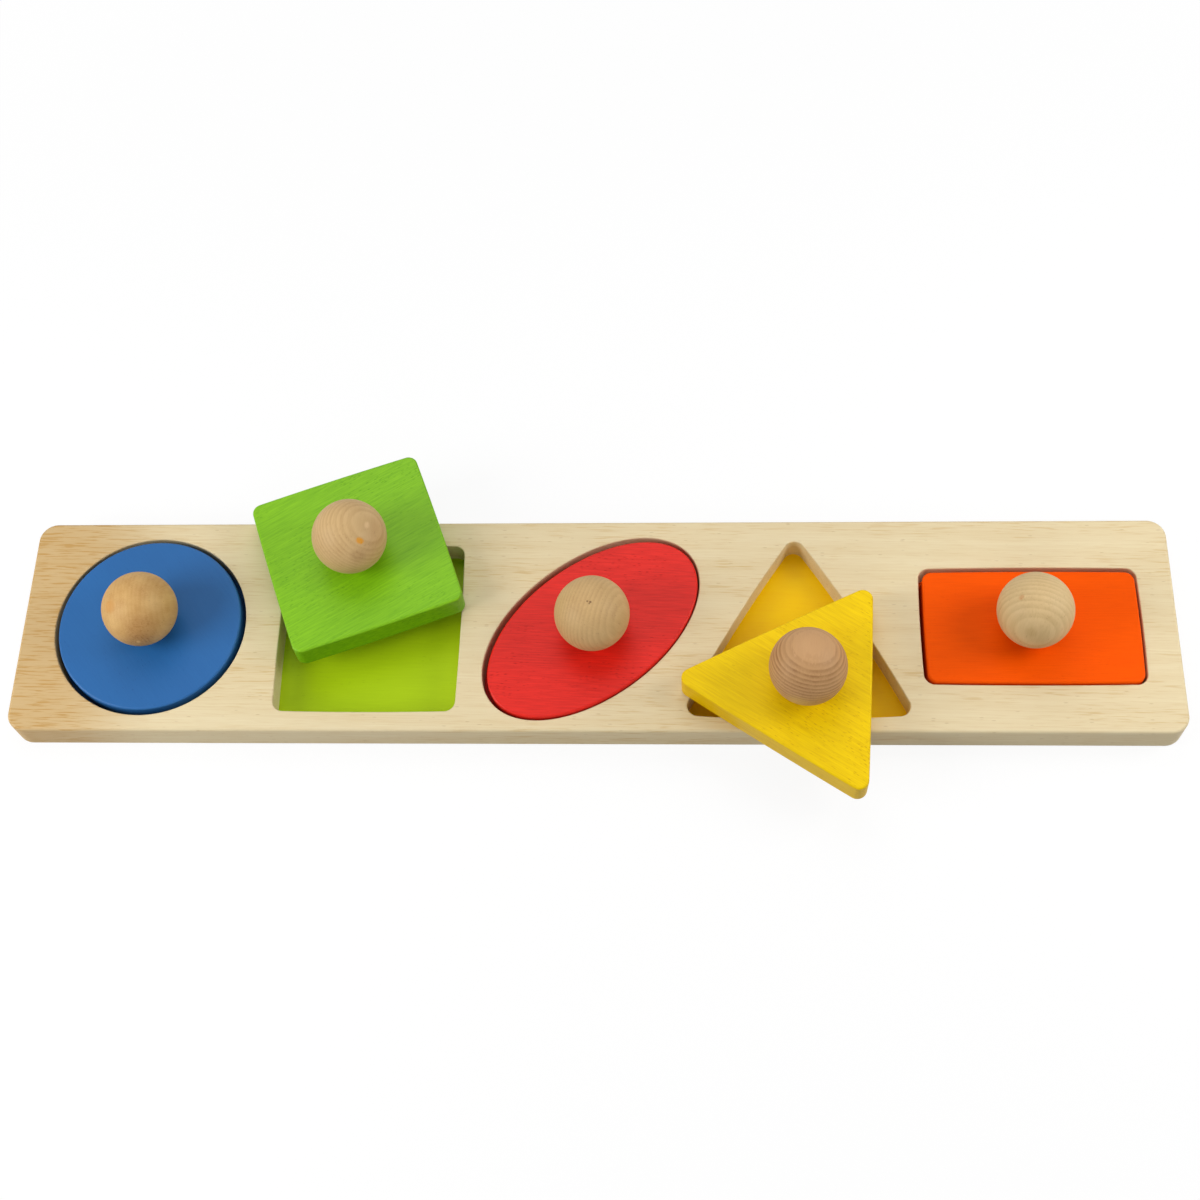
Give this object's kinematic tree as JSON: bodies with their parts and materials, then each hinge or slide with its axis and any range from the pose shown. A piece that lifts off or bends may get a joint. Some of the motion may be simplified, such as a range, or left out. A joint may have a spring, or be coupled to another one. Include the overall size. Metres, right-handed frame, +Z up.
{
  "type": "shape board",
  "caption": "Wooden shape sorting board: a pocketed board with painted blocks of matching outline, each lifted and turned by a ball knob.",
  "frame": {"origin": "centre of the board's flat underside", "axes": "+X along the board, from the round pocket's end to the rectangular pocket's end; +Y to the board's back edge; +Z up, out of the pockets"},
  "size_m": [0.4994, 0.1555, 0.0607],
  "materials": {
    "board_wood": "sanded pale hardwood under a thin matt lacquer, pocket floors painted in their block's colour",
    "knob_wood": "turned and sanded hardwood under a thin matt lacquer",
    "dowel_wood": "bare hardwood dowel, glued",
    "blue_paint": "thin satin blue paint, grain showing through",
    "green_paint": "thin satin light green paint, grain showing through",
    "red_paint": "thin satin red paint, grain showing through",
    "yellow_paint": "thin satin yellow paint, grain showing through",
    "orange_paint": "thin satin orange paint, grain showing through"
  },
  "bodies": {
    "board": {"board": "board_wood"},
    "round_lifter": {"round_dowel": "dowel_wood"},
    "round_piece": {"round_block": "blue_paint", "round_knob": "knob_wood"},
    "square_lifter": {"square_dowel": "dowel_wood"},
    "square_piece": {"square_block": "green_paint", "square_knob": "knob_wood"},
    "ellipse_piece": {"ellipse_block": "red_paint", "ellipse_knob": "knob_wood", "ellipse_dowel": "dowel_wood"},
    "triangle_lifter": {"triangle_dowel": "dowel_wood"},
    "triangle_piece": {"triangle_block": "yellow_paint", "triangle_knob": "knob_wood"},
    "rectangle_piece": {"rectangle_block": "orange_paint", "rectangle_knob": "knob_wood", "rectangle_dowel": "dowel_wood"}
  },
  "joints": [
    {"name": "round_lift", "type": "slide", "parent": "board", "child": "round_lifter", "axis": [0, 0, 1], "range_m": [0, 0.08]},
    {"name": "round_turn", "type": "hinge", "parent": "round_lifter", "child": "round_piece", "pos_m": [-0.19283, -0.0005, 0.0043], "axis": [0, 0, 1], "continuous": true},
    {"name": "square_lift", "type": "slide", "parent": "board", "child": "square_lifter", "axis": [0, 0, 1], "range_m": [0, 0.08]},
    {"name": "square_turn", "type": "hinge", "parent": "square_lifter", "child": "square_piece", "pos_m": [-0.10215, 0.028, 0.0163], "axis": [0, 0, 1], "continuous": true},
    {"name": "ellipse_lift", "type": "slide", "parent": "board", "child": "ellipse_piece", "axis": [0, 0, 1], "range_m": [0, 0.08]},
    {"name": "triangle_lift", "type": "slide", "parent": "board", "child": "triangle_lifter", "axis": [0, 0, 1], "range_m": [0, 0.08]},
    {"name": "triangle_turn", "type": "hinge", "parent": "triangle_lifter", "child": "triangle_piece", "pos_m": [0.09152, -0.03234, 0.0163], "axis": [0, 0, 1], "continuous": true},
    {"name": "rectangle_lift", "type": "slide", "parent": "board", "child": "rectangle_piece", "axis": [0, 0, 1], "range_m": [0, 0.08]}
  ]
}
